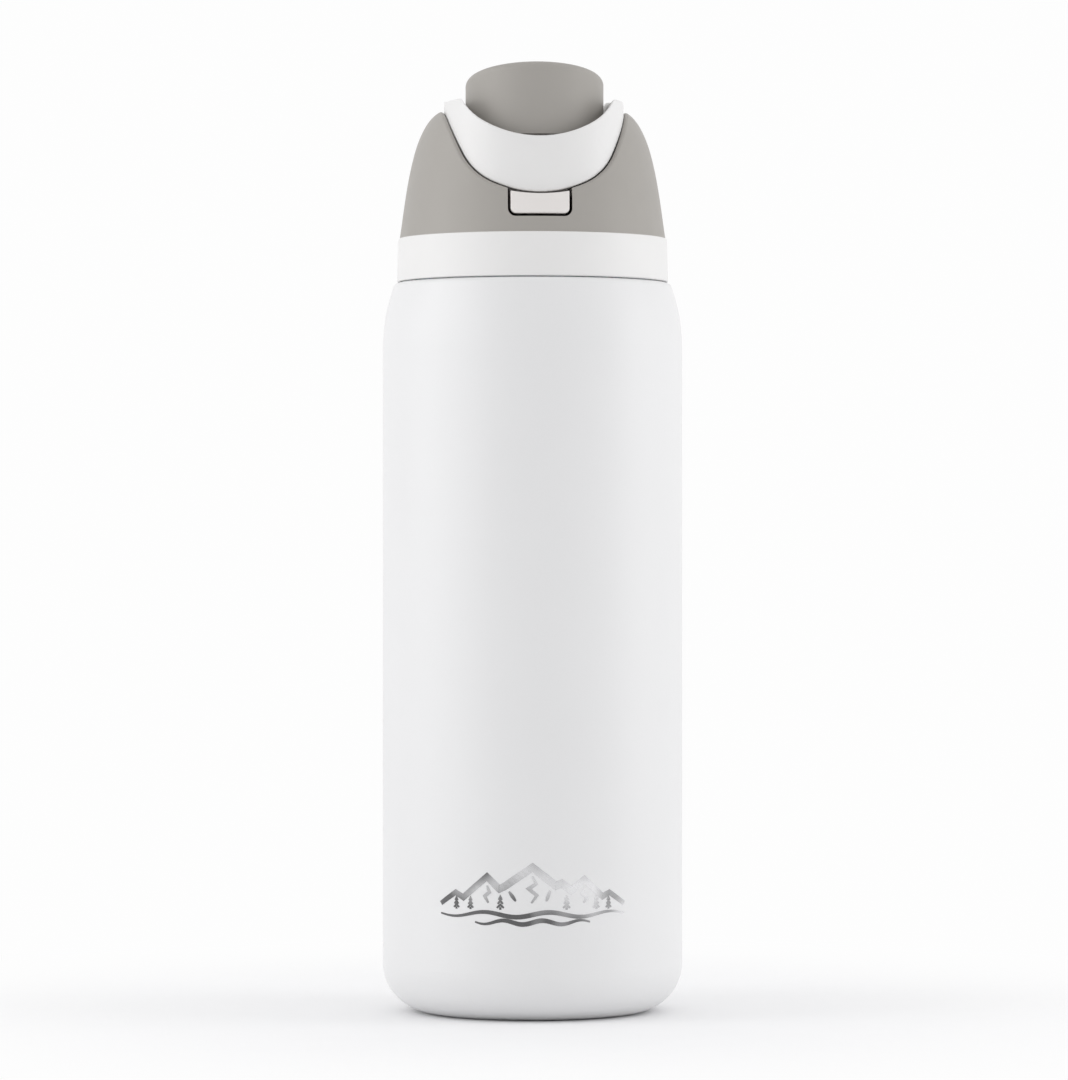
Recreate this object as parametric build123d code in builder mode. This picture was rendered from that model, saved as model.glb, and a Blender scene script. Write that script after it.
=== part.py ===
"""Insulated water bottle with a flip-top straw lid.

Millimetres, +Z up. The origin is the centre of the base plane, and the push button faces -Y.
"""

from build123d import *
from math import cos, radians, sin, tan
import os

os.makedirs("parts", exist_ok=True)

# ---- driving dimensions: steel bottle
body_r = 41.5
steel = 0.5
rim_z = 201.5
rim_outer_r = 37.2
neck_outer_r = 34.9
shoulder_z = 183.6
shoulder_top = (38.6, 200.4)
shell_bottom_z = 16.0
base_corner_r = 13.5
recess_r = 25.0
recess_z = 3.0
vessel_r = 38.3
vessel_bottom_z = 7.0

# ---- driving dimensions: screw thread of the lid
thread_pitch = 6.0
thread_turns = 1.5
thread_start_z = 188.0
thread_height = 1.2
thread_root_half = 1.3
thread_crest_half = 0.6
thread_bite = 0.3
thread_play = 0.25

# ---- driving dimensions: lid
plug_r = 32.8
plug_bottom_z = 186.0
floor_z = 203.4
floor_top_z = 205.4
collar_bottom_z = 201.8
collar_top_z = 213.8
collar_r_bottom = 37.6
collar_r_top = 37.25
plastic = 1.8
dome_meridian = ((36.85, 213.8), (35.45, 223.6), (33.4, 234.7), (30.4, 243.5), (27.0, 248.0), (24.6, 249.3))
hinge_y = 14.0
hinge_z = 247.5
pin_r = 1.5
running_gap = 0.05
press_gap = 0.02
pin_press_gap = 0.01

# ---- driving dimensions: flip cap and spout
cap_y = -9.0
cap_r = 19.0
cap_wall = 2.0
cap_bottom_z = 240.9
cap_front_z = 261.1
cap_slope = 11.5
boss_r = 14.6
boss_top_z = 243.5
spout_r = 9.4
spout_wall = 1.4
spout_top_z = 249.0
straw_y = -13.0
straw_r = 4.2
straw_wall = 0.8

# ---- driving dimensions: push button and carry loop
button_half = 8.0
button_bottom_z = 218.7
button_gap = 0.75
loop_half = 24.7
loop_inner_half = 20.4
loop_front_y = -33.4
loop_thick = 4.2
loop_top_z = 252.4
loop_gap = 0.35

# ---- construction lengths: past any outside face, and past a face that is cut or joined
reach = 45.0
overlap = 1.0


def finish(builder, name):
    """Label a finished piece and write it as its own STEP file."""
    builder.part.label = name
    export_step(builder.part, f"parts/{name}.step")


def thread_ridge(radius, outward, start_z, turns):
    """One helical ridge standing on a cylinder, outward or inward from it."""
    side = 1 if outward else -1
    with BuildPart() as ridge:
        with BuildLine() as helix:
            Helix(pitch=thread_pitch, height=thread_pitch * turns, radius=radius, center=(0, 0, start_z))
        section = Plane(origin=helix.line @ 0, x_dir=(1, 0, 0), z_dir=helix.line % 0)
        with BuildSketch(section):
            with BuildLine():
                Polyline(
                    (-side * thread_bite, -thread_root_half),
                    (-side * thread_bite, thread_root_half),
                    (side * thread_height, thread_crest_half),
                    (side * thread_height, -thread_crest_half),
                    close=True,
                )
            make_face()
        sweep(path=helix.line, is_frenet=True)
    return ridge.part


# ================= steel bottle =================

# outer shell: straight wall, long shoulder curve and rolled rim
with BuildPart() as outer_shell:
    with BuildSketch(Plane.XZ):
        with BuildLine():
            wall = Line((body_r, shell_bottom_z), (body_r, shoulder_z))
            shoulder = TangentArc(wall @ 1, shoulder_top, tangent=wall % 1)
            lip = TangentArc(shoulder @ 1, (rim_outer_r, rim_z), tangent=shoulder % 1)
            Line(lip @ 1, (neck_outer_r, rim_z))
            offset(amount=steel, side=Side.LEFT)
        make_face()
    revolve(axis=Axis.Z)
finish(outer_shell, "outer_shell")

# pressed base cup with a recess that holds the cover disc
base_turn_r = 1.2
foot_trim = 0.04
with BuildPart() as outer_base:
    with BuildSketch(Plane.XZ):
        with BuildLine():
            FilletPolyline(
                (0, recess_z),
                (recess_r, recess_z),
                (recess_r, -foot_trim),
                (body_r, -foot_trim),
                (body_r, shell_bottom_z),
                radius=(base_turn_r, base_turn_r, base_corner_r),
            )
            offset(amount=steel, side=Side.LEFT)
        make_face()
    revolve(axis=Axis.Z)
    # the ring that the bottle stands on is ground flat
    split(bisect_by=Plane.XY, keep=Keep.TOP)
    tail_hole_r = 1.2
    with Locations((0, 0, recess_z + steel)):
        Hole(radius=tail_hole_r)
finish(outer_base, "outer_base")

# cover disc pressed into the recess of the base
disc_low_z = 1.25
disc_thick = 0.6
with BuildPart() as base_disc:
    with BuildSketch(Plane.XY.offset(disc_low_z)):
        Circle(recess_r - press_gap)
    extrude(amount=disc_thick)
finish(base_disc, "base_disc")

# solder bead that closes the tail hole after the air is drawn out
bead_r = 2.6
bead_low_z = 2.1
bead_round = 0.5
with BuildPart() as vacuum_seal:
    with BuildSketch(Plane.XY.offset(bead_low_z)):
        Circle(bead_r)
    extrude(amount=recess_z - bead_low_z)
    with BuildSketch(Plane.XY.offset(recess_z)):
        Circle(tail_hole_r - press_gap)
    extrude(amount=steel)
    fillet(vacuum_seal.faces().sort_by(Axis.Z)[0].edges(), radius=bead_round)
finish(vacuum_seal, "vacuum_seal")

# inner vessel with the inward thread of the neck
neck_flare_low_z = 174.0
neck_flare_high_z = 180.0
vessel_corner_radii = (12.0, 8.0, 6.0)
with BuildPart() as inner_vessel:
    with BuildSketch(Plane.XZ):
        with BuildLine():
            FilletPolyline(
                (0, vessel_bottom_z),
                (vessel_r, vessel_bottom_z),
                (vessel_r, neck_flare_low_z),
                (neck_outer_r, neck_flare_high_z),
                (neck_outer_r, rim_z),
                radius=vessel_corner_radii,
            )
            offset(amount=steel, side=Side.LEFT)
        make_face()
    revolve(axis=Axis.Z)
    neck_r = neck_outer_r - steel
    add(thread_ridge(neck_r, False, thread_start_z, thread_turns))
finish(inner_vessel, "inner_vessel")

# getter pill on the underside of the vessel, inside the vacuum
getter_x = 14.0
getter_r = 6.0
getter_thick = 1.2
getter_round = 0.4
with BuildPart() as getter:
    with BuildSketch(Plane.XY.offset(vessel_bottom_z)):
        with Locations((getter_x, 0)):
            Circle(getter_r)
    extrude(amount=-getter_thick)
    fillet(getter.faces().sort_by(Axis.Z)[0].edges(), radius=getter_round)
finish(getter, "getter")

# ================= lid: screw base =================

skirt_wall = 2.0
skirt_r = plug_r - skirt_wall
groove_low_r = 34.7
groove_high_r = 36.6
groove_top_z = 203.3
spigot_r = 34.5
spigot_inner_r = 32.7
spigot_top_z = 216.0
floor_hole_r = 8.6
collar_round = 0.35
lid_thread_turns = thread_turns - 0.25
with BuildPart() as lid_base:
    with BuildSketch(Plane.XZ) as lid_section:
        with BuildLine():
            Polyline(
                (skirt_r, plug_bottom_z),
                (plug_r, plug_bottom_z),
                (plug_r, collar_bottom_z),
                (groove_low_r, collar_bottom_z),
                (groove_low_r, groove_top_z),
                (groove_high_r, groove_top_z),
                (groove_high_r, collar_bottom_z),
                (collar_r_bottom, collar_bottom_z),
                (collar_r_top, collar_top_z),
                (spigot_r, collar_top_z),
                (spigot_r, spigot_top_z),
                (spigot_inner_r, spigot_top_z),
                (spigot_inner_r, floor_top_z),
                (0, floor_top_z),
                (0, floor_z),
                (skirt_r, floor_z),
                close=True,
            )
        make_face()
        fillet(lid_section.vertices().sort_by(Axis.X)[-2:], radius=collar_round)
    revolve(axis=Axis.Z)
    with Locations((0, cap_y, floor_top_z)):
        Hole(radius=floor_hole_r)
    lid_thread_drop = thread_root_half + thread_crest_half + thread_play
    add(thread_ridge(plug_r, True, thread_start_z - lid_thread_drop, lid_thread_turns))
finish(lid_base, "lid_base")

# silicone gasket between the lid and the steel rim
gasket_side_gap = 0.1
gasket_top_gap = 0.05
gasket_round = 0.4
with BuildPart() as rim_gasket:
    with BuildSketch(Plane.XY.offset(rim_z)):
        Circle(groove_high_r - gasket_side_gap)
        Circle(groove_low_r + gasket_side_gap, mode=Mode.SUBTRACT)
    extrude(amount=groove_top_z - rim_z - gasket_top_gap)
    fillet(rim_gasket.edges(), radius=gasket_round)
finish(rim_gasket, "rim_gasket")

# ================= lid: dome with its saddle =================

saddle_points = ((0.0, 224.4), (12.9, 227.4), (20.6, 235.4), (25.3, 250.2))
saddle_angles = (0.0, 26.2, 66.0, 76.0)
saddle_open_z = 264.0


def saddle_outline(gap):
    """Lines of the U section of the saddle, moved outward by gap, closed above."""
    moved = [
        (x + gap * sin(radians(a)), z - gap * cos(radians(a)))
        for (x, z), a in zip(saddle_points, saddle_angles)
    ]
    low = TangentArc(moved[0], moved[1], tangent=(1, 0))
    side = TangentArc(moved[1], moved[2], tangent=low % 1)
    high = TangentArc(moved[2], moved[3], tangent=side % 1)
    Line(high @ 1, (moved[3][0], saddle_open_z))
    Line((moved[3][0], saddle_open_z), (0, saddle_open_z))
    mirror(about=Plane.YZ)


def dome_outline(shrink, bottom_z):
    """Lines of half the dome, drawn in by shrink, from bottom_z up to a flat crown."""
    meridian = [(r - shrink, z) for r, z in dome_meridian]
    curve = Spline(*meridian)
    Polyline(curve @ 0, (meridian[0][0], bottom_z), (0, bottom_z), (0, meridian[-1][1]), curve @ 1)


block_half = 19.7
block_front_y = 10.8
block_top_z = 242.8
block_rear_y = 18.9
block_rear_z = 246.4
block_step_round = 0.8
rim_round = 0.8
lug_r = 4.5
lug_inner_half = 7.3
lug_neck_inset = 0.8

# everything taken away above the saddle floor, around the boss and the rear block
with BuildPart() as saddle_cut:
    with BuildSketch(Plane.XZ.offset(reach)):
        with BuildLine():
            saddle_outline(0)
        make_face()
    extrude(amount=-2 * reach)
    with BuildSketch(Plane.XY.offset(boss_top_z)):
        with Locations((0, cap_y)):
            Circle(boss_r)
    extrude(amount=-reach, mode=Mode.SUBTRACT)
    with BuildSketch(Plane.YZ.offset(-block_half)):
        with BuildLine():
            FilletPolyline(
                (block_front_y, collar_top_z),
                (block_front_y, block_top_z),
                (block_rear_y, block_top_z),
                (block_rear_y, block_rear_z),
                (reach, block_rear_z),
                (reach, collar_top_z),
                close=True,
                radius=(0, 0, block_step_round, block_step_round, 0, 0),
            )
        make_face()
    extrude(amount=2 * block_half, mode=Mode.SUBTRACT)

# hollow inside of the dome, under the saddle floor
with BuildPart() as dome_hollow:
    with BuildSketch(Plane.XZ):
        with BuildLine():
            dome_outline(plastic, collar_top_z - overlap)
        make_face()
    revolve(axis=Axis.Z)
    with BuildSketch(Plane.XZ.offset(reach)):
        with BuildLine():
            saddle_outline(plastic)
        make_face()
    extrude(amount=-2 * reach, mode=Mode.SUBTRACT)


def is_rear_rim(edge):
    """True for the edges where the rear block meets the outside of the dome."""
    return edge.center().Y > 0 and abs(edge.center().X) < block_half + block_step_round / 4


def saddle_rims(builder):
    """Edges of the dome's outside above the saddle floor, without the seam of the revolved face."""
    outside = builder.faces().filter_by(GeomType.REVOLUTION).sort_by(SortBy.AREA)[-1]
    lowest_z = saddle_points[0][1] - overlap
    seam_length = dome_meridian[-1][1] - collar_top_z - 2 * overlap
    return outside.edges().filter_by(
        lambda e: e.center().Z > lowest_z and e.bounding_box().size.Z < seam_length
    )


slot_rear_y = -19.6
slot_top_z = 260.0
slot_corner_r = 2.2
slot_height = slot_top_z - button_bottom_z
spout_play = 0.3
lug_neck_height = hinge_z - block_top_z + overlap
with BuildPart() as dome_shell:
    with BuildSketch(Plane.XZ):
        with BuildLine():
            dome_outline(0, collar_top_z - overlap)
        make_face()
    revolve(axis=Axis.Z)
    split(bisect_by=Plane.XY.offset(collar_top_z), keep=Keep.TOP)
    add(saddle_cut.part, mode=Mode.SUBTRACT)
    # round the rims where the saddle meets the outside of the dome
    fillet(saddle_rims(dome_shell).filter_by(is_rear_rim, reverse=True), radius=rim_round)
    for side in (-1, 1):
        with BuildSketch(Plane.YZ.offset(side * lug_inner_half)):
            with Locations((hinge_y, hinge_z)):
                Circle(lug_r)
            with Locations((hinge_y, block_top_z - overlap)):
                Rectangle(2 * (lug_r - lug_neck_inset), lug_neck_height, align=(Align.CENTER, Align.MIN))
        extrude(amount=side * (block_half - lug_inner_half))
    add(dome_hollow.part, mode=Mode.SUBTRACT)
    with BuildSketch(Plane.XZ.offset(reach)) as opening:
        with Locations((0, button_bottom_z - button_gap)):
            Rectangle(2 * (button_half + button_gap), slot_height, align=(Align.CENTER, Align.MIN))
        fillet(opening.vertices().group_by(Axis.Z)[0], radius=slot_corner_r)
    extrude(amount=slot_rear_y + reach, dir=(0, 1, 0), mode=Mode.SUBTRACT)
    with BuildSketch(Plane.XY.offset(boss_top_z)):
        with Locations((0, cap_y)):
            Circle(spout_r + spout_play)
    extrude(amount=-reach / 2, mode=Mode.SUBTRACT)
    with BuildSketch(Plane.YZ.offset(-block_half)):
        with Locations((hinge_y, hinge_z)):
            Circle(pin_r + pin_press_gap)
    extrude(amount=2 * block_half, mode=Mode.SUBTRACT)
finish(dome_shell, "dome_shell")

# ================= lid: spout and straw =================

flange_r = 14.0
flange_low_z = 206.6
flange_thick = 1.6
straw_tube_top_z = 245.5
straw_tube_low_z = 199.0
spout_bore_r = spout_r - spout_wall
spout_lip_round = 1.0
with BuildPart() as spout:
    with BuildSketch(Plane.XY.offset(flange_low_z)):
        with Locations((0, cap_y)):
            Circle(flange_r)
    extrude(amount=flange_thick)
    with BuildSketch(Plane.XY.offset(flange_low_z)):
        with Locations((0, cap_y)):
            Circle(spout_r)
    extrude(amount=spout_top_z - flange_low_z)
    fillet(spout.faces().sort_by(Axis.Z)[-1].edges(), radius=spout_lip_round)
    with BuildSketch(Plane.XY.offset(flange_low_z)):
        with Locations((0, cap_y)):
            Circle(spout_bore_r)
    extrude(amount=spout_top_z - flange_low_z, mode=Mode.SUBTRACT)
    with BuildSketch(Plane.XY.offset(straw_tube_low_z)):
        with Locations((0, straw_y)):
            Circle(straw_r)
    extrude(amount=straw_tube_top_z - straw_tube_low_z)
    with BuildSketch(Plane.XY.offset(straw_tube_low_z)):
        with Locations((0, straw_y)):
            Circle(straw_r - straw_wall)
    extrude(amount=spout_top_z - straw_tube_low_z, mode=Mode.SUBTRACT)
finish(spout, "spout")

# flat silicone ring between the spout flange and the lid floor
ring_outer_r = flange_r - 0.5
ring_inner_r = flange_r - 3.5
with BuildPart() as spout_gasket:
    with BuildSketch(Plane.XY.offset(floor_top_z)):
        with Locations((0, cap_y)):
            Circle(ring_outer_r)
            Circle(ring_inner_r, mode=Mode.SUBTRACT)
    extrude(amount=flange_low_z - floor_top_z)
finish(spout_gasket, "spout_gasket")

# silicone sleeve that joins the straw to the spout
socket_low_z = 184.0
socket_high_z = 203.0
socket_wall = 1.4
socket_chamfer = 0.6
with BuildPart() as straw_socket:
    with BuildSketch(Plane.XY.offset(socket_low_z)):
        with Locations((0, straw_y)):
            Circle(straw_r + socket_wall)
            Circle(straw_r + press_gap, mode=Mode.SUBTRACT)
    extrude(amount=socket_high_z - socket_low_z)
    chamfer(straw_socket.faces().sort_by(Axis.Z)[0].edges().sort_by(SortBy.RADIUS)[-1], length=socket_chamfer)
finish(straw_socket, "straw_socket")

# straight drinking straw, cut square at both ends
straw_bottom_z = 10.5
straw_end_gap = 0.5
with BuildPart() as straw:
    with BuildSketch(Plane.XY.offset(straw_bottom_z)):
        with Locations((0, straw_y)):
            Circle(straw_r)
            Circle(straw_r - straw_wall, mode=Mode.SUBTRACT)
    extrude(amount=straw_tube_low_z - straw_end_gap - straw_bottom_z)
finish(straw, "straw")

# ================= flip cap =================

cap_normal = (0, sin(radians(cap_slope)), cos(radians(cap_slope)))
cap_top = Plane(origin=(0, cap_y - cap_r, cap_front_z), z_dir=cap_normal)
cap_blank = 30.0
cap_round = 2.0
cap_knuckle_half = 7.0
cap_knuckle_r = 3.3
cap_knuckle_root = 8.0
spring_slot_half = 2.7
spring_slot_length = cap_knuckle_r + 4.0
catch_half = 5.0
catch_low_z = 241.4
catch_high_z = 242.5
catch_depth = 1.2
catch_root = 0.5

# hollow inside of the cap, under its sloping top
with BuildPart() as cap_hollow:
    with BuildSketch(Plane.XY.offset(cap_bottom_z - overlap)):
        with Locations((0, cap_y)):
            Circle(cap_r - cap_wall)
    extrude(amount=cap_blank)
    split(bisect_by=cap_top.offset(-cap_wall), keep=Keep.BOTTOM)

with BuildPart() as cap_shell:
    with BuildSketch(Plane.XY.offset(cap_bottom_z)):
        with Locations((0, cap_y)):
            Circle(cap_r)
    extrude(amount=cap_blank)
    split(bisect_by=cap_top, keep=Keep.BOTTOM)
    fillet(cap_shell.faces().sort_by(Axis.Z)[-1].edges(), radius=cap_round)
    with BuildSketch(Plane.YZ.offset(-cap_knuckle_half)):
        with Locations((hinge_y, hinge_z)):
            Circle(cap_knuckle_r)
            Rectangle(cap_knuckle_root, 2 * cap_knuckle_r, align=(Align.MAX, Align.CENTER))
    extrude(amount=2 * cap_knuckle_half)
    add(cap_hollow.part, mode=Mode.SUBTRACT)
    with BuildSketch(Plane.XY.offset(catch_low_z)) as catch:
        with Locations((0, cap_y)):
            Circle(cap_r - cap_wall + catch_root)
            Circle(cap_r - cap_wall - catch_depth, mode=Mode.SUBTRACT)
        with Locations((0, cap_y - cap_r)):
            Rectangle(2 * catch_half, cap_r, mode=Mode.INTERSECT)
    extrude(amount=catch_high_z - catch_low_z)
    with BuildSketch(Plane.YZ.offset(-spring_slot_half)):
        with Locations((hinge_y, hinge_z)):
            Rectangle(spring_slot_length, 2 * (cap_knuckle_r + overlap))
    extrude(amount=2 * spring_slot_half, mode=Mode.SUBTRACT)
    with BuildSketch(Plane.YZ.offset(-cap_knuckle_half)):
        with Locations((hinge_y, hinge_z)):
            Circle(pin_r + running_gap)
    extrude(amount=2 * cap_knuckle_half, mode=Mode.SUBTRACT)
finish(cap_shell, "cap_shell")

# liner that carries the stopper and fills the slope of the cap
liner_low_z = 250.9
liner_r = 15.5
with BuildPart() as cap_liner:
    with BuildSketch(Plane.XY.offset(liner_low_z)):
        with Locations((0, cap_y)):
            Circle(liner_r)
    extrude(amount=cap_blank)
    split(bisect_by=cap_top.offset(-cap_wall), keep=Keep.BOTTOM)
finish(cap_liner, "cap_liner")

# silicone stopper that closes the spout
stopper_flange_r = 11.0
stopper_plug_r = 7.4
stopper_taper = 8.0
stopper_round = 0.8
stopper_flange_z = spout_top_z + 0.05
stopper_low_z = 246.2
with BuildPart() as cap_stopper:
    with BuildSketch(Plane.XY.offset(stopper_flange_z)):
        with Locations((0, cap_y)):
            Circle(stopper_flange_r)
    extrude(amount=liner_low_z - stopper_flange_z)
    with BuildSketch(Plane.XY.offset(stopper_flange_z)):
        with Locations((0, cap_y)):
            Circle(stopper_plug_r)
    extrude(amount=stopper_low_z - stopper_flange_z, taper=stopper_taper)
    fillet(cap_stopper.faces().sort_by(Axis.Z)[0].edges(), radius=stopper_round)
finish(cap_stopper, "cap_stopper")

# ================= hinge hardware =================

pin_half = 23.2
pin_chamfer = 0.3
with BuildPart() as hinge_pin:
    with BuildSketch(Plane.YZ.offset(-pin_half)):
        with Locations((hinge_y, hinge_z)):
            Circle(pin_r)
    extrude(amount=2 * pin_half)
    chamfer(hinge_pin.edges().filter_by(GeomType.CIRCLE), length=pin_chamfer)
finish(hinge_pin, "hinge_pin")

# torsion spring coiled round the pin, between the halves of the cap knuckle
spring_r = 2.25
spring_wire_r = 0.28
spring_turns = 5
spring_pitch = 0.9
with BuildPart() as cap_spring:
    with BuildLine() as coil:
        Helix(
            pitch=spring_pitch,
            height=spring_pitch * spring_turns,
            radius=spring_r,
            center=(-spring_pitch * spring_turns / 2, hinge_y, hinge_z),
            direction=(1, 0, 0),
        )
    with BuildSketch(Plane(origin=coil.line @ 0, z_dir=coil.line % 0)):
        Circle(spring_wire_r)
    sweep(path=coil.line, is_frenet=True)
finish(cap_spring, "cap_spring")

# ================= push button =================

button_corner_r = 1.5
button_edge_round = 0.5
button_sink = 0.05
button_rear_y = -22.0
button_face_y = -26.4
button_lip_top_z = 224.2
button_web_top_z = 239.5
button_height = button_web_top_z - button_bottom_z
hook_top_z = 244.2
hook_low_z = 242.7
hook_lip_top_z = 243.0
hook_tip_y = -25.2
hook_face_y = -24.0
hook_rear_y = -22.2
spring_seat_z = 221.3
spring_seat_y = -25.4
post_r = 1.9
post_length = 1.6
hook_half = 4.0
with BuildPart() as button:
    with BuildSketch(Plane.XZ.offset(reach)) as face:
        with Locations((0, button_bottom_z)):
            Rectangle(2 * button_half, button_height, align=(Align.CENTER, Align.MIN))
        fillet(face.vertices().group_by(Axis.Z)[0], radius=button_corner_r)
    extrude(amount=button_rear_y + reach, dir=(0, 1, 0))
    with BuildSketch(Plane.XZ):
        with BuildLine():
            dome_outline(button_sink, collar_top_z - overlap)
        make_face()
    revolve(axis=Axis.Z, mode=Mode.INTERSECT)
    with BuildSketch(Plane.YZ.offset(-reach)):
        with BuildLine():
            Polyline(
                (-reach, button_lip_top_z),
                (button_face_y, button_lip_top_z),
                (button_face_y, slot_top_z),
                (-reach, slot_top_z),
                close=True,
            )
        make_face()
    extrude(amount=2 * reach, mode=Mode.SUBTRACT)
    with BuildSketch(Plane.YZ.offset(-reach)):
        with BuildLine():
            Polyline(
                (spring_seat_y, 0),
                (spring_seat_y, button_lip_top_z),
                (0, button_lip_top_z),
                (0, 0),
                close=True,
            )
        make_face()
    extrude(amount=2 * reach, mode=Mode.SUBTRACT)
    front_rim = button.faces().sort_by(Axis.Y)[0].edges()
    fillet(front_rim, radius=button_edge_round)
    with BuildSketch(Plane.YZ.offset(-hook_half)):
        with BuildLine():
            Polyline(
                (hook_rear_y, button_web_top_z - overlap),
                (hook_face_y, button_web_top_z - overlap),
                (hook_face_y, hook_low_z),
                (hook_tip_y, hook_low_z),
                (hook_tip_y, hook_lip_top_z),
                (hook_face_y, hook_top_z),
                (hook_rear_y, hook_top_z),
                close=True,
            )
        make_face()
    extrude(amount=2 * hook_half)
    with BuildSketch(Plane.XZ.offset(-spring_seat_y)):
        with Locations((0, spring_seat_z)):
            Circle(post_r)
    extrude(amount=-post_length)
finish(button, "button")

# bracket on the spout flange that backs the button spring
bracket_front_y = -20.6
bracket_thick = 1.8
bracket_half = 5.6
bracket_top_z = 222.2
bracket_foot = 0.8
flange_top_z = flange_low_z + flange_thick
with BuildPart() as spring_bracket:
    with BuildSketch(Plane.YZ.offset(-bracket_half)):
        with BuildLine():
            Polyline(
                (bracket_front_y - bracket_foot, flange_top_z),
                (bracket_front_y - bracket_foot, flange_top_z + bracket_thick),
                (bracket_front_y, flange_top_z + bracket_thick),
                (bracket_front_y, bracket_top_z),
                (bracket_front_y + bracket_thick, bracket_top_z),
                (bracket_front_y + bracket_thick, flange_top_z),
                close=True,
            )
        make_face()
    extrude(amount=2 * bracket_half)
finish(spring_bracket, "spring_bracket")

# compression spring behind the button
coil_wire_r = 0.25
coil_r = 2.35
coil_turns = 4
coil_play = 0.05
coil_length = bracket_front_y - spring_seat_y - 2 * (coil_wire_r + coil_play)
with BuildPart() as button_spring:
    with BuildLine() as button_coil:
        Helix(
            pitch=coil_length / coil_turns,
            height=coil_length,
            radius=coil_r,
            center=(0, spring_seat_y + coil_wire_r + coil_play, spring_seat_z),
            direction=(0, 1, 0),
        )
    with BuildSketch(Plane(origin=button_coil.line @ 0, z_dir=button_coil.line % 0)):
        Circle(coil_wire_r)
    sweep(path=button_coil.line, is_frenet=True)
finish(button_spring, "button_spring")

# ================= carry loop =================

loop_mid_y = -4.5
eye_inner_half = 20.2
eye_half = 23.3
eye_r = 4.9
taper_y = 8.0
loop_low_z = 215.0
arm_low_z = 243.6
crest_points = ((0.0, 240.4), (14.4, 244.7), (20.8, 252.4))
underside_points = ((-27.0, 221.5), (-7.0, arm_low_z))
front_semi = loop_mid_y - loop_front_y
swing_gap = 0.5


def cap_reach(x):
    """Largest distance of the cap's top edge from the hinge axis, at a distance x from the middle."""
    y = cap_y - (cap_r**2 - x**2) ** 0.5
    z = cap_front_z - (y - cap_y + cap_r) * tan(radians(cap_slope))
    return ((y - hinge_y) ** 2 + (z - hinge_z) ** 2) ** 0.5


# the space that the closed cap needs while the loop swings over it
sweep_steps = (0.0, 5.0, 10.0, 14.0, 17.0, 19.0)
with BuildPart() as cap_clearance:
    with BuildSketch(Plane.XY.offset(hinge_z)):
        with BuildLine():
            edge = [(x, hinge_y - cap_reach(x) - swing_gap) for x in sweep_steps]
            Spline(*[(-x, y) for x, y in edge[:0:-1]], *edge)
            Polyline(edge[-1], (loop_inner_half, edge[-1][1]), (loop_inner_half, hinge_y))
            Polyline(
                (loop_inner_half, hinge_y),
                (-loop_inner_half, hinge_y),
                (-loop_inner_half, edge[-1][1]),
                (-edge[-1][0], edge[-1][1]),
            )
        make_face()
    revolve(axis=Axis((0, hinge_y, hinge_z), (1, 0, 0)))

with BuildPart() as carry_loop:
    # plan of the band: half an ellipse in front, two arms that narrow towards the hinge
    with BuildSketch(Plane.XY.offset(loop_low_z)):
        with Locations((0, loop_mid_y)):
            Ellipse(loop_half, front_semi)
        Polygon(
            (-loop_half, loop_mid_y),
            (loop_half, loop_mid_y),
            (eye_half, taper_y),
            (eye_half, hinge_y),
            (-eye_half, hinge_y),
            (-eye_half, taper_y),
            align=None,
        )
        with Locations((0, loop_mid_y)):
            Ellipse(loop_inner_half, front_semi - loop_thick, mode=Mode.SUBTRACT)
            Rectangle(2 * loop_inner_half, reach, align=(Align.CENTER, Align.MIN), mode=Mode.SUBTRACT)
    extrude(amount=loop_top_z - loop_low_z)
    # front view: the lower edge follows the saddle, the upper edge sweeps up to the arms
    with BuildSketch(Plane.XZ.offset(reach)):
        with BuildLine():
            saddle_outline(-loop_gap)
        make_face()
        with BuildLine():
            crest = ThreePointArc((-crest_points[1][0], crest_points[1][1]), crest_points[0], crest_points[1])
            sweep_up = TangentArc(crest @ 1, crest_points[2], tangent=crest % 1)
            Polyline(sweep_up @ 1, (crest_points[2][0], saddle_open_z), (0, saddle_open_z))
            mirror(sweep_up, about=Plane.YZ)
            Polyline(
                (-crest_points[2][0], crest_points[2][1]),
                (-crest_points[2][0], saddle_open_z),
                (0, saddle_open_z),
            )
        make_face(mode=Mode.SUBTRACT)
    extrude(amount=-2 * reach, mode=Mode.INTERSECT)
    # side view: the underside rises from the front to level arms
    with BuildSketch(Plane.YZ.offset(-reach)):
        with BuildLine():
            Polyline(
                (-reach, loop_low_z),
                underside_points[0],
                underside_points[1],
                (hinge_y, arm_low_z),
                (hinge_y, loop_top_z),
                (-reach, loop_top_z),
                close=True,
            )
        make_face()
    extrude(amount=2 * reach, mode=Mode.INTERSECT)
    add(cap_clearance.part, mode=Mode.SUBTRACT)
    for side in (-1, 1):
        with BuildSketch(Plane.YZ.offset(side * eye_inner_half)):
            with Locations((hinge_y, hinge_z)):
                Circle(eye_r)
        extrude(amount=side * (eye_half - eye_inner_half))
    with BuildSketch(Plane.YZ.offset(-eye_half)):
        with Locations((hinge_y, hinge_z)):
            Circle(pin_r + running_gap)
    extrude(amount=2 * eye_half, mode=Mode.SUBTRACT)
finish(carry_loop, "carry_loop")
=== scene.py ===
"""Looks of the insulated water bottle: materials, rounded loop and button, steel emblem, light and camera.

Metres, +Z up, the push button faces -Y. The other CAD nodes keep their shape and get procedural materials.
"""

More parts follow.
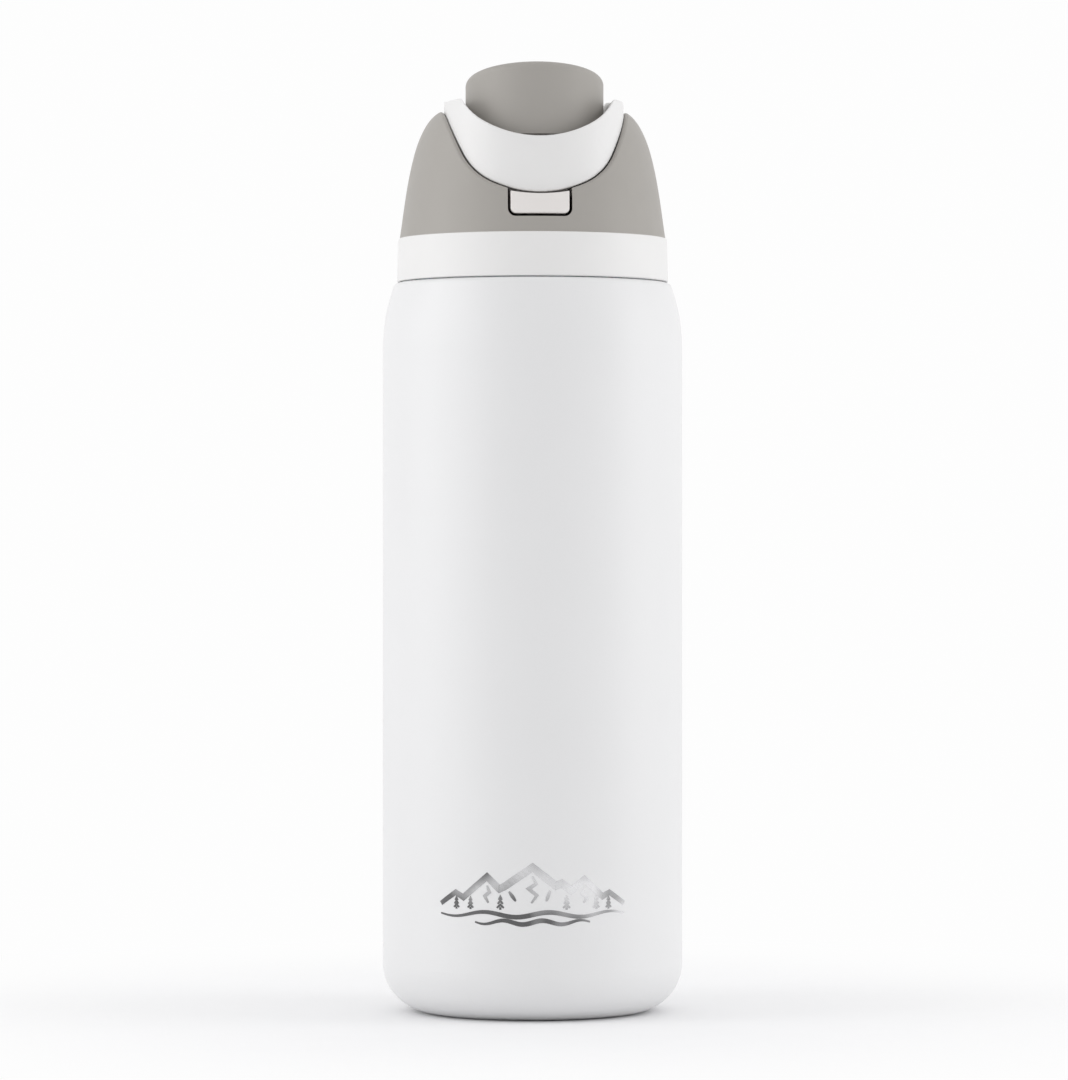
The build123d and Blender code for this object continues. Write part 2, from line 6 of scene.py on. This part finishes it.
import bmesh
import bpy
import math
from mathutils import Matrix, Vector


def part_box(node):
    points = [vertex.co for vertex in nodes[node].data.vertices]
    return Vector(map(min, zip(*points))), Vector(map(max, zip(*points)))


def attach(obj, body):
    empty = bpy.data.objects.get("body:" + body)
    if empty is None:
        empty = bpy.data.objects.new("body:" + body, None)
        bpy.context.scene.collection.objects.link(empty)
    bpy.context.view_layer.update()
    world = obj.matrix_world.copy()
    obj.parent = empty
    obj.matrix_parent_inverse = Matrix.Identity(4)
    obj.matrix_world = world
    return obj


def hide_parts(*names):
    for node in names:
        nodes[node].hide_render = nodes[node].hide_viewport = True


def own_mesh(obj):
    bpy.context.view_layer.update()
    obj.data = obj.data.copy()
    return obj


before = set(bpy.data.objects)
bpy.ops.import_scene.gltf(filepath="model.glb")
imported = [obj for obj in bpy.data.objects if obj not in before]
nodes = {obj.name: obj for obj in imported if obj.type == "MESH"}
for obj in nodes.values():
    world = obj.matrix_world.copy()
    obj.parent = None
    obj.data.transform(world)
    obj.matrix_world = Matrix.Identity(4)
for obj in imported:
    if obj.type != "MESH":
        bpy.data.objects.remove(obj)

MM = 0.001
COLOUR_MIX_INPUTS = (0, 6, 7)
COLOUR_MIX_OUTPUT = 2
NOISE_LOW, NOISE_HIGH = 0.3, 0.7
FLAT_DOT, SHARP_DOT = 0.995, 0.9
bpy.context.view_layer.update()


# ---------------------------------------------------------------- material helpers


def connect(tree, value, socket):
    """Links a socket's value to an input, or sets the input to a plain value."""
    if isinstance(value, bpy.types.NodeSocket):
        tree.links.new(value, socket)
    else:
        socket.default_value = value


class Shader:
    """A node tree that is built up by small calls."""

    def __init__(self, name):
        self.material = bpy.data.materials.new(name)
        self.material.use_nodes = True
        self.tree = self.material.node_tree
        self.bsdf = self.tree.nodes["Principled BSDF"]

    def node(self, kind, **inputs):
        made = self.tree.nodes.new(kind)
        for key, value in inputs.items():
            self.put(made, key, value)
        return made

    def put(self, node, key, value):
        connect(self.tree, value, node.inputs[key])

    def set(self, **inputs):
        for key, value in inputs.items():
            self.put(self.bsdf, key.replace("_", " "), value)

    def place(self):
        return self.node("ShaderNodeTexCoord").outputs["Object"]

    def scaled(self, scale):
        """Object coordinates, stretched by a scale for each axis."""
        mapping = self.node("ShaderNodeMapping", Vector=self.place(), Scale=scale)
        return mapping.outputs["Vector"]

    def noise(self, size, detail=2.0, vector=None, roughness=0.5):
        """Noise with features of about the given size in metres."""
        made = self.node("ShaderNodeTexNoise", Scale=1.0 / size, Detail=detail, Roughness=roughness)
        self.put(made, "Vector", vector or self.place())
        return made.outputs["Fac"]

    def ramp(self, value, low, high, to_low, to_high):
        made = self.node("ShaderNodeMapRange", Value=value)
        self.put(made, "From Min", low)
        self.put(made, "From Max", high)
        self.put(made, "To Min", to_low)
        self.put(made, "To Max", to_high)
        return made.outputs["Result"]

    def add(self, first, second):
        made = self.tree.nodes.new("ShaderNodeMath")
        self.tree.links.new(first, made.inputs[0])
        self.tree.links.new(second, made.inputs[1])
        return made.outputs[0]

    def mix(self, factor, colour_a, colour_b):
        made = self.tree.nodes.new("ShaderNodeMix")
        made.data_type = "RGBA"
        for index, value in zip(COLOUR_MIX_INPUTS, (factor, colour_a, colour_b)):
            connect(self.tree, value, made.inputs[index])
        return made.outputs[COLOUR_MIX_OUTPUT]

    def bump(self, height, strength, distance, normal=None):
        made = self.node("ShaderNodeBump", Height=height, Strength=strength, Distance=distance)
        if normal is not None:
            self.put(made, "Normal", normal)
        return made.outputs["Normal"]

    def sharp_edge_mask(self, radius):
        """1 on sharp outward edges, 0 elsewhere, from the difference of a bevelled normal."""
        bevel = self.node("ShaderNodeBevel", Radius=radius)
        geometry = self.node("ShaderNodeNewGeometry")
        dot = self.tree.nodes.new("ShaderNodeVectorMath")
        dot.operation = "DOT_PRODUCT"
        self.tree.links.new(bevel.outputs["Normal"], dot.inputs[0])
        self.tree.links.new(geometry.outputs["Normal"], dot.inputs[1])
        return self.ramp(dot.outputs["Value"], FLAT_DOT, SHARP_DOT, 0.0, 1.0)

    def spread(self, noise, low, high):
        """Noise stretched to run from low to high."""
        return self.ramp(noise, NOISE_LOW, NOISE_HIGH, low, high)


def shade(colour, factor):
    """A colour made lighter or darker, with full opacity."""
    return (*[min(1.0, c * factor) for c in colour], 1.0)


def grey_tone(level):
    """A neutral tone with a trace of blue."""
    return (level, level, 1.01 * level, 1.0)


# ---------------------------------------------------------------- materials


def powder_coat(colour):
    """White powder coat: fine orange peel, with a slight cloudiness in tone and gloss."""
    grain_size, peel_size, cloud_size = 0.35 * MM, 1.4 * MM, 30.0 * MM
    grain_depth, peel_depth = 0.03 * MM, 0.05 * MM
    pit_amount, pit_tone = 0.06, 0.8
    s = Shader("powder_coat")
    grain = s.noise(grain_size, detail=3.0)
    peel = s.noise(peel_size, detail=1.5)
    cloud = s.noise(cloud_size)
    tone = s.mix(cloud, shade(colour, 0.985), shade(colour, 1.01))
    pits = s.spread(grain, 0.0, pit_amount)
    s.set(Base_Color=s.mix(pits, tone, shade(colour, pit_tone)))
    s.set(Roughness=s.spread(cloud, 0.30, 0.37), IOR=1.5)
    fine = s.bump(grain, 0.25, grain_depth)
    s.set(Normal=s.bump(peel, 0.2, peel_depth, fine))
    return s.material


def moulded(name, colour, roughness, grain_size, grain_strength):
    """Moulded plastic with a fine spark-eroded texture, flow clouds and slightly polished edges, which also
    carry a painted highlight: they are lighter in colour.
    """
    cloud_size, gloss_size, edge_radius = 18.0 * MM, 6.0 * MM, 0.4 * MM
    grain_depth = 0.02 * MM
    speck_low, speck_high, speck_amount, speck_tone = 0.6, 0.75, 0.12, 0.75
    edge_highlight_amount, edge_highlight_tone, edge_polish = 0.25, 1.15, -0.12
    s = Shader(name)
    grain = s.noise(grain_size, detail=4.0, roughness=0.6)
    cloud = s.noise(cloud_size, detail=3.0)
    sharp_edges = s.sharp_edge_mask(edge_radius)
    tone = s.mix(cloud, shade(colour, 0.975), shade(colour, 1.02))
    specks = s.ramp(grain, speck_low, speck_high, 0.0, speck_amount)
    speckled = s.mix(specks, tone, shade(colour, speck_tone))
    # painted highlight: sharp edges are made lighter in colour; the lower roughness set on them further down
    # is the real polish
    edges = s.ramp(sharp_edges, 0.0, 1.0, 0.0, edge_highlight_amount)
    s.set(Base_Color=s.mix(edges, speckled, shade(colour, edge_highlight_tone)))
    gloss = s.spread(s.noise(gloss_size), roughness - 0.03, roughness + 0.04)
    polish = s.ramp(sharp_edges, 0.0, 1.0, 0.0, edge_polish)
    s.set(Roughness=s.add(gloss, polish), IOR=1.47)
    s.set(Normal=s.bump(grain, grain_strength, grain_depth))
    return s.material


def brushed_steel(name, streak_scale, roughness):
    """Bare steel with fine brush streaks."""
    streak_size, blotch_size, streak_depth = 0.5 * MM, 20.0 * MM, 0.02 * MM
    dark, light, stain = grey_tone(0.50), grey_tone(0.66), grey_tone(0.46)
    stain_amount = 0.2
    s = Shader(name)
    streak = s.noise(streak_size, detail=4.0, vector=s.scaled(streak_scale))
    stains = s.spread(s.noise(blotch_size), 0.0, stain_amount)
    s.set(Base_Color=s.mix(stains, s.mix(streak, dark, light), stain), Metallic=1.0)
    s.set(Roughness=s.spread(streak, roughness - 0.05, roughness + 0.08))
    s.set(Normal=s.bump(streak, 0.3, streak_depth))
    return s.material


def steel_with_painted_reflection():
    """Polished steel of the emblem with a painted reflection: its colour runs from dark on its left to
    bright on its right, lighter towards its top and in soft patches, with faint polishing marks.
    """
    mark_size, sheen_size, mark_depth = 0.4 * MM, 11.0 * MM, 0.01 * MM
    left_x, right_x = -26.0 * MM, 24.0 * MM
    foot_z, crest_z = 27.0 * MM, 42.0 * MM
    dark, light, scratch = grey_tone(0.105), grey_tone(0.87), grey_tone(0.5)
    scratch_amount = 0.15
    s = Shader("polished_steel_painted_reflection")
    marks = s.noise(mark_size, detail=4.0, vector=s.scaled((1.0, 1.0, 6.0)))
    split = s.node("ShaderNodeSeparateXYZ", Vector=s.place())
    # painted reflection: the colour darkens to the left, lightens to the right and towards the top, and
    # varies in soft patches, standing in for the studio mirrored in the steel
    reflection_across = s.ramp(split.outputs["X"], left_x, right_x, -0.15, 0.85)
    upward = s.ramp(split.outputs["Z"], foot_z, crest_z, -0.22, 0.22)
    reflection_patches = s.spread(s.noise(sheen_size, detail=1.0), -0.4, 0.4)
    painted_reflection = s.ramp(s.add(s.add(reflection_across, upward), reflection_patches), 0.0, 1.0, 0.0, 1.0)
    scratches = s.spread(marks, 0.0, scratch_amount)
    s.set(Base_Color=s.mix(scratches, s.mix(painted_reflection, dark, light), scratch), Metallic=1.0)
    s.set(Roughness=s.spread(marks, 0.14, 0.24))
    s.set(Normal=s.bump(marks, 0.1, mark_depth))
    return s.material


def silicone():
    """Milky silicone with a soft bloom."""
    bloom_size, skin_size, skin_depth = 4.0 * MM, 0.6 * MM, 0.02 * MM
    scatter_depth = 2.0 * MM
    s = Shader("silicone")
    bloom = s.noise(bloom_size, detail=3.0)
    s.set(Base_Color=s.mix(bloom, grey_tone(0.71), grey_tone(0.80)))
    s.set(Roughness=s.spread(bloom, 0.45, 0.6), IOR=1.41)
    s.set(Subsurface_Weight=0.3, Subsurface_Scale=scatter_depth, Transmission_Weight=0.15)
    s.set(Normal=s.bump(s.noise(skin_size), 0.15, skin_depth))
    return s.material


def clear_straw():
    """Frosted clear plastic of the straw, with faint drawing lines along it."""
    line_size, line_depth = 0.6 * MM, 0.02 * MM
    along = (1.0, 1.0, 0.03)
    s = Shader("frosted_straw")
    lines = s.noise(line_size, vector=s.scaled(along))
    s.set(Base_Color=s.mix(lines, grey_tone(0.81), grey_tone(0.89)))
    s.set(Roughness=s.spread(lines, 0.15, 0.3), IOR=1.49, Transmission_Weight=0.6)
    s.set(Normal=s.bump(lines, 0.2, line_depth))
    return s.material


WHITE_COAT = (0.80, 0.80, 0.805)
WHITE_PLASTIC = (0.80, 0.795, 0.79)
BUTTON_PLASTIC = (0.79, 0.76, 0.74)
GREY_PLASTIC = (0.365, 0.347, 0.323)

coat = powder_coat(WHITE_COAT)
white = moulded("white_plastic", WHITE_PLASTIC, roughness=0.42, grain_size=0.3 * MM, grain_strength=0.15)
ivory = moulded("button_plastic", BUTTON_PLASTIC, roughness=0.40, grain_size=0.3 * MM, grain_strength=0.15)
grey = moulded("grey_plastic", GREY_PLASTIC, roughness=0.48, grain_size=0.35 * MM, grain_strength=0.3)
inner_grey = moulded("spout_plastic", GREY_PLASTIC, roughness=0.35, grain_size=0.5 * MM, grain_strength=0.1)
steel = brushed_steel("brushed_steel", streak_scale=(1.0, 1.0, 12.0), roughness=0.3)
wire = brushed_steel("drawn_wire", streak_scale=(4.0, 4.0, 4.0), roughness=0.22)
base_steel = brushed_steel("base_steel", streak_scale=(1.0, 20.0, 1.0), roughness=0.32)
dull = brushed_steel("dull_metal", streak_scale=(1.0, 1.0, 1.0), roughness=0.5)
rubber = silicone()
straw_plastic = clear_straw()

NODE_LOOKS = {
    "outer_shell": coat,
    "outer_base": coat,
    "base_disc": base_steel,
    "vacuum_seal": dull,
    "getter": dull,
    "inner_vessel": steel,
    "rim_gasket": rubber,
    "lid_base": white,
    "dome_shell": grey,
    "spout": inner_grey,
    "spout_gasket": rubber,
    "straw_socket": rubber,
    "straw": straw_plastic,
    "hinge_pin": wire,
    "cap_spring": wire,
    "button_spring": wire,
    "spring_bracket": inner_grey,
    "cap_shell": grey,
    "cap_liner": white,
    "cap_stopper": rubber,
    "button": ivory,
    "carry_loop": white,
}
for node_name, look in NODE_LOOKS.items():
    for material_slot in nodes[node_name].material_slots:
        material_slot.material = look


# ---------------------------------------------------------------- carry loop and push button

MELT = 0.5
LOOP_VOXEL, LOOP_MELT_PASSES = 0.28 * MM, 7
LOOP_MIDDLE_Y, LOOP_HALF_WIDTH, LOOP_WIDEST, LOOP_POWER = -4.5 * MM, 24.7 * MM, 0.985, 2.6
ARM_DROP, ARM_DROP_FROM_Z = 1.65 * MM, 236.0 * MM
ARM_DROP_REAR_Y, ARM_DROP_FRONT_Y = 9.0 * MM, -14.0 * MM
BUTTON_VOXEL, BUTTON_MELT_PASSES = 0.16 * MM, 5
LIP_REAR_Y, LIP_FRONT_Y = -27.0 * MM, -28.0 * MM
LIP_LOW_Z, LIP_TOP_Z, LIP_RISE = 221.7 * MM, 224.2 * MM, 0.75 * MM


def add_piece(name, mesh, look):
    """A new object in the scene with a mesh and one material."""
    mesh.materials.clear()
    mesh.materials.append(look)
    piece = bpy.data.objects.new(name, mesh)
    bpy.context.scene.collection.objects.link(piece)
    return piece


def add_mesh(name, bm, look):
    """A new object in the scene from a bmesh, with one material."""
    mesh = bpy.data.meshes.new(name)
    bm.to_mesh(mesh)
    bm.free()
    return add_piece(name, mesh, look)


def stand_in(piece, body, node_name):
    """Shows a piece instead of a CAD node, on the same body."""
    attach(piece, body)
    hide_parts(node_name)


def rounded_copy(node_name, name, voxel, passes, look):
    """A copy of a CAD node's mesh whose sharp edges are melted to a moulded radius."""
    piece = add_piece(name, nodes[node_name].data.copy(), look)
    remesh = piece.modifiers.new("remesh", "REMESH")
    remesh.mode = "VOXEL"
    remesh.voxel_size = voxel
    smooth = piece.modifiers.new("melt", "SMOOTH")
    smooth.factor = MELT
    smooth.iterations = passes
    depsgraph = bpy.context.evaluated_depsgraph_get()
    final = bpy.data.meshes.new_from_object(piece.evaluated_get(depsgraph))
    piece.modifiers.clear()
    piece.data = final
    final.shade_smooth()
    final.materials.clear()
    final.materials.append(look)
    return piece


def smoothstep(low, high, value):
    """0 at low, 1 at high, with soft ends. low may be above high."""
    t = min(1.0, max(0.0, (value - low) / (high - low)))
    return t * t * (3.0 - 2.0 * t)


def fill_out(piece):
    """Squares up the loop's plan, an ellipse in front, so that its sides come forward to the dome's face."""
    for vertex in piece.data.vertices:
        t = min(LOOP_WIDEST, abs(vertex.co.x) / LOOP_HALF_WIDTH)
        stretch = (1.0 - t**LOOP_POWER) ** (1.0 / LOOP_POWER) / (1.0 - t * t) ** 0.5
        if vertex.co.y < LOOP_MIDDLE_Y:
            vertex.co.y = LOOP_MIDDLE_Y + (vertex.co.y - LOOP_MIDDLE_Y) * stretch


def lower_front(piece):
    """Slopes the top of the loop's arms down towards the front, leaving the eyes as they are."""
    top_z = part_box("carry_loop")[1].z
    for vertex in piece.data.vertices:
        forward = smoothstep(ARM_DROP_REAR_Y, ARM_DROP_FRONT_Y, vertex.co.y)
        upward = min(1.0, max(0.0, (vertex.co.z - ARM_DROP_FROM_Z) / (top_z - ARM_DROP_FROM_Z)))
        vertex.co.z -= ARM_DROP * forward * upward


def crown_lip(piece):
    """Raises the corners of the button's lip, so that its top follows the curve of the loop above it."""
    half_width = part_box("button")[1].x
    for vertex in piece.data.vertices:
        on_lip = smoothstep(LIP_REAR_Y, LIP_FRONT_Y, vertex.co.y)
        upward = smoothstep(LIP_LOW_Z, LIP_TOP_Z, vertex.co.z)
        vertex.co.z += LIP_RISE * on_lip * upward * (vertex.co.x / half_width) ** 2


loop_piece = rounded_copy("carry_loop", "loop_moulding", LOOP_VOXEL, LOOP_MELT_PASSES, white)
fill_out(loop_piece)
lower_front(loop_piece)
stand_in(loop_piece, "loop", "carry_loop")

button_piece = rounded_copy("button", "button_moulding", BUTTON_VOXEL, BUTTON_MELT_PASSES, ivory)
crown_lip(button_piece)
stand_in(button_piece, "push_button", "button")


# ---------------------------------------------------------------- button spring


def build_coil():
    """The button's spring as its own copy of the CAD spring, carried on the lid."""
    coil = add_piece("button_coil", nodes["button_spring"].data.copy(), wire)
    stand_in(coil, "lid", "button_spring")
    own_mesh(coil)


build_coil()


# ---------------------------------------------------------------- emblem

body_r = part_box("outer_shell")[1].x
VIEW_AZIMUTH = math.radians(-3.4)
EMBLEM_PROUD, EMBLEM_ROOT = 0.04 * MM, -0.2 * MM
EMBLEM_WIDTH, EMBLEM_HEIGHT, EMBLEM_LOW = 53.0 * MM, 13.0 * MM, 29.3 * MM
RIDGE_STROKE, FACET_STROKE, WAVE_STROKE, PINE_STROKE = 2.1 * MM, 1.0 * MM, 1.3 * MM, 0.62 * MM
RIDGE_TAPER, FACET_TAPER, WAVE_TAPER, PINE_TAPER = 0.45, 0.6, 0.75, 0.3
TIP_SHARE = 0.04
MITRE_LIMIT = 0.35
WAVE_STEPS = 24

# the emblem's lines, as shares of its width from its middle and of its height from its foot
RIDGE = (
    (-0.5, 0.22), (-0.41, 0.46), (-0.365, 0.36), (-0.235, 0.8), (-0.17, 0.55), (-0.145, 0.6), (0.0, 1.0),
    (0.12, 0.62), (0.15, 0.67), (0.2, 0.52), (0.27, 0.74), (0.37, 0.38), (0.41, 0.46), (0.5, 0.22),
)
FACETS = (
    ((-0.235, 0.62), (-0.222, 0.48), (-0.247, 0.4), (-0.228, 0.26)),
    ((0.0, 0.82), (0.018, 0.66), (-0.02, 0.56), (0.022, 0.42), (-0.006, 0.26)),
    ((0.27, 0.57), (0.257, 0.45), (0.283, 0.37), (0.265, 0.26)),
    ((-0.12, 0.5), (-0.085, 0.3)),
    ((0.09, 0.52), (0.07, 0.3)),
)
PINES = (
    (-0.405, 0.12, 3.1 * MM), (-0.325, 0.12, 3.1 * MM), (-0.165, 0.12, 3.6 * MM),
    (0.175, 0.12, 3.6 * MM), (0.335, 0.12, 3.4 * MM), (0.405, 0.12, 3.1 * MM),
)
PINE_TIERS = ((0.98, 0.13), (0.68, 0.2), (0.38, 0.27))
PINE_TIER_FALL, PINE_TRUNK = 0.24, 0.2
WAVES = ((0.02, 0.5, 0.05), (-0.14, 0.3, 0.04))


def wrap(s, z, proud):
    """A point on the body's outside: s along the girth from the emblem's middle, at height z."""
    angle = VIEW_AZIMUTH + s / body_r
    r = body_r + proud
    return Vector((r * math.sin(angle), -r * math.cos(angle), z))


def ribbon(bm, line, width, taper):
    """A raised ribbon along a line of (s, z) points, wrapped on the body and narrowed towards both ends."""
    rails = []
    last = len(line) - 1
    for i, point in enumerate(line):
        here = Vector(point)
        into = (here - Vector(line[max(i - 1, 0)])).normalized()
        out = (Vector(line[min(i + 1, last)]) - here).normalized()
        bisector = (into + out).normalized()
        normal = Vector((-bisector.y, bisector.x))
        along = into if i > 0 else out
        swell = math.sin(math.pi * (TIP_SHARE + (1.0 - 2.0 * TIP_SHARE) * i / last))
        mitre = max(MITRE_LIMIT, normal.dot(Vector((-along.y, along.x))))
        reach = normal * 0.5 * width * (1.0 - taper + taper * swell) / mitre
        edges = (here + reach, here - reach)
        rails.append([bm.verts.new(wrap(e.x, e.y, h)) for e in edges for h in (EMBLEM_PROUD, EMBLEM_ROOT)])
    for a, b in zip(rails, rails[1:]):
        bm.faces.new((a[0], b[0], b[2], a[2]))
        bm.faces.new((a[1], b[1], b[0], a[0]))
        bm.faces.new((a[2], b[2], b[3], a[3]))
        bm.faces.new((a[3], b[3], b[1], a[1]))
    for end, order in ((rails[0], (0, 2, 3, 1)), (rails[-1], (1, 3, 2, 0))):
        bm.faces.new([end[k] for k in order])


def dense(points, steps):
    """The same polyline with extra points, so that it follows the round body."""
    out = []
    for (s0, z0), (s1, z1) in zip(points, points[1:]):
        out += [(s0 + (s1 - s0) * k / steps, z0 + (z1 - z0) * k / steps) for k in range(steps)]
    return out + [points[-1]]


def placed(points):
    """Shares of the emblem's width and height turned into metres on the body."""
    return [(s * EMBLEM_WIDTH, EMBLEM_LOW + z * EMBLEM_HEIGHT) for s, z in points]


def pine(bm, foot, height):
    """A small pine: a trunk below three open chevrons."""
    s, z = foot
    for level, spread in PINE_TIERS:
        top = z + height * level
        low = top - PINE_TIER_FALL * height
        arms = [(s - spread * height, low), (s, top), (s + spread * height, low)]
        ribbon(bm, dense(arms, 3), PINE_STROKE, PINE_TAPER)
    ribbon(bm, dense([(s, z + PINE_TRUNK * height), (s, z)], 2), PINE_STROKE, 0.0)


def build_emblem():
    """A generic ridge line with facets, a few pines on either side and two waves below it."""
    bm = bmesh.new()
    ribbon(bm, dense(placed(RIDGE), 6), RIDGE_STROKE, RIDGE_TAPER)
    for facet in FACETS:
        ribbon(bm, dense(placed(facet), 4), FACET_STROKE, FACET_TAPER)
    for s, z, height in PINES:
        pine(bm, placed([(s, z)])[0], height)
    for base, reach, swell in WAVES:
        steps = [i / WAVE_STEPS - 1.0 for i in range(2 * WAVE_STEPS + 1)]
        wave = [(reach * t, base + swell * math.sin(3.0 * math.pi * t)) for t in steps]
        ribbon(bm, placed(wave), WAVE_STROKE, WAVE_TAPER)
    bmesh.ops.recalc_face_normals(bm, faces=bm.faces)
    piece = add_mesh("emblem_ridge", bm, steel_with_painted_reflection())
    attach(piece, "bottle")


build_emblem()


# ---------------------------------------------------------------- floor, light and camera

BACKDROP = 0.985
FLOOR_HALF, FLOOR_Z = 6.0, -0.05 * MM
FLOOR_SHADOW_R, FLOOR_FADE_R = 0.05, 0.24
WORLD_FRONT, WORLD_SIDE = 0.72, 0.90
LEFT_PANEL = (-0.52, -0.78, 1.5)
RIGHT_PANEL = (0.82, 0.97, 0.6)
SOFTBOX_SIZE, SOFTBOX_DISTANCE, SOFTBOX_HEIGHT = (0.5, 0.9), 0.9, 0.35
CAMERA_DISTANCE = 1.367
CAMERA_HEIGHT = 130.4 * MM
CAMERA_SIDE = 0.4 * MM
FOCAL_RATIO = 4928.0 / 1080.0
SENSOR = 36.0
BODY_MIDDLE = Vector((0.0, 0.0, 0.13))


def soft_step(tree, value, low, high, to_low, to_high):
    """A smooth step of a socket's value, as a socket."""
    made = tree.nodes.new("ShaderNodeMapRange")
    made.interpolation_type = "SMOOTHERSTEP"
    for key, number in (("From Min", low), ("From Max", high), ("To Min", to_low), ("To Max", to_high)):
        made.inputs[key].default_value = number
    tree.links.new(value, made.inputs["Value"])
    return made.outputs["Result"]


def arithmetic(tree, operation, first, second):
    """Two sockets joined by an operation, as a socket."""
    made = tree.nodes.new("ShaderNodeMath")
    made.operation = operation
    tree.links.new(first, made.inputs[0])
    tree.links.new(second, made.inputs[1])
    return made.outputs[0]


def pick(tree, condition, otherwise, chosen):
    """The chosen value where the condition is 1, the other one elsewhere."""
    made = tree.nodes.new("ShaderNodeMix")
    for index, value in enumerate((condition, None, otherwise, chosen)):
        if value is not None:
            connect(tree, value, made.inputs[index])
    return made.outputs[0]


def build_floor():
    """A wide pale floor that keeps the contact shadow and fades into the backdrop round it."""
    bm = bmesh.new()
    corners = ((-1, -1), (1, -1), (1, 1), (-1, 1))
    bm.faces.new([bm.verts.new((FLOOR_HALF * x, FLOOR_HALF * y, FLOOR_Z)) for x, y in corners])
    s = Shader("floor_white")
    fine = s.noise(10.0 * MM)
    s.set(Base_Color=s.mix(fine, grey_tone(0.93), grey_tone(0.945)), Roughness=0.9, Specular_IOR_Level=0.2)
    length = s.tree.nodes.new("ShaderNodeVectorMath")
    length.operation = "LENGTH"
    s.tree.links.new(s.place(), length.inputs[0])
    away = soft_step(s.tree, length.outputs["Value"], FLOOR_SHADOW_R, FLOOR_FADE_R, 0.0, 1.0)
    path = s.tree.nodes.new("ShaderNodeLightPath")
    glow = s.node("ShaderNodeEmission", Strength=BACKDROP)
    seen = arithmetic(s.tree, "MULTIPLY", away, path.outputs["Is Camera Ray"])
    blend = s.node("ShaderNodeMixShader", Fac=seen)
    s.tree.links.new(s.bsdf.outputs[0], blend.inputs[1])
    s.tree.links.new(glow.outputs[0], blend.inputs[2])
    s.tree.links.new(blend.outputs[0], s.tree.nodes["Material Output"].inputs["Surface"])
    add_mesh("floor", bm, s.material)


def build_world():
    """White surround, dimmer behind the camera. Glossy surfaces also see a bright panel on either side."""
    world = bpy.data.worlds.new("studio")
    bpy.context.scene.world = world
    world.use_nodes = True
    tree = world.node_tree
    background = tree.nodes["Background"]
    coordinate = tree.nodes.new("ShaderNodeTexCoord")
    split = tree.nodes.new("ShaderNodeSeparateXYZ")
    tree.links.new(coordinate.outputs["Generated"], split.inputs[0])
    x, y = split.outputs["X"], split.outputs["Y"]
    diffuse = soft_step(tree, y, -1.0, -0.1, WORLD_FRONT, WORLD_SIDE)
    left = soft_step(tree, x, LEFT_PANEL[0], LEFT_PANEL[1], 0.0, LEFT_PANEL[2])
    right = soft_step(tree, x, RIGHT_PANEL[0], RIGHT_PANEL[1], 0.0, RIGHT_PANEL[2])
    ahead = soft_step(tree, y, 0.5, 0.1, 0.0, 1.0)
    panels = arithmetic(tree, "MULTIPLY", arithmetic(tree, "ADD", left, right), ahead)
    glossy = arithmetic(tree, "ADD", diffuse, panels)
    path = tree.nodes.new("ShaderNodeLightPath")
    indirect = pick(tree, path.outputs["Is Glossy Ray"], diffuse, glossy)
    seen = pick(tree, path.outputs["Is Camera Ray"], indirect, BACKDROP)
    tree.links.new(seen, background.inputs["Strength"])
    background.inputs["Color"].default_value = (1.0, 1.0, 1.0, 1.0)


def softbox(name, azimuth, power):
    """A rectangular area light at an azimuth round the bottle, aimed at its middle."""
    data = bpy.data.lights.new(name, "AREA")
    data.shape = "RECTANGLE"
    data.size, data.size_y = SOFTBOX_SIZE
    data.energy = power
    lamp = bpy.data.objects.new(name, data)
    a = math.radians(azimuth)
    lamp.visible_glossy = False
    lamp.location = (SOFTBOX_DISTANCE * math.sin(a), -SOFTBOX_DISTANCE * math.cos(a), SOFTBOX_HEIGHT)
    aim = BODY_MIDDLE - lamp.location
    lamp.rotation_euler = aim.to_track_quat("-Z", "Y").to_euler()
    bpy.context.scene.collection.objects.link(lamp)


def build_camera():
    """Level camera in front of the bottle, a little to its left."""
    data = bpy.data.cameras.new("camera")
    data.sensor_width = SENSOR
    data.lens = FOCAL_RATIO * SENSOR
    camera = bpy.data.objects.new("camera", data)
    back = Vector((math.sin(VIEW_AZIMUTH), -math.cos(VIEW_AZIMUTH), 0.0))
    right = Vector((math.cos(VIEW_AZIMUTH), math.sin(VIEW_AZIMUTH), 0.0))
    camera.location = back * CAMERA_DISTANCE + right * CAMERA_SIDE + Vector((0.0, 0.0, CAMERA_HEIGHT))
    camera.rotation_euler = (math.radians(90.0), 0.0, VIEW_AZIMUTH)
    bpy.context.scene.collection.objects.link(camera)
    bpy.context.scene.camera = camera


build_floor()
build_world()
softbox("softbox_left", azimuth=-78, power=2.1)
softbox("softbox_right", azimuth=80, power=2.2)
build_camera()
bpy.context.scene.view_settings.view_transform = "Standard"
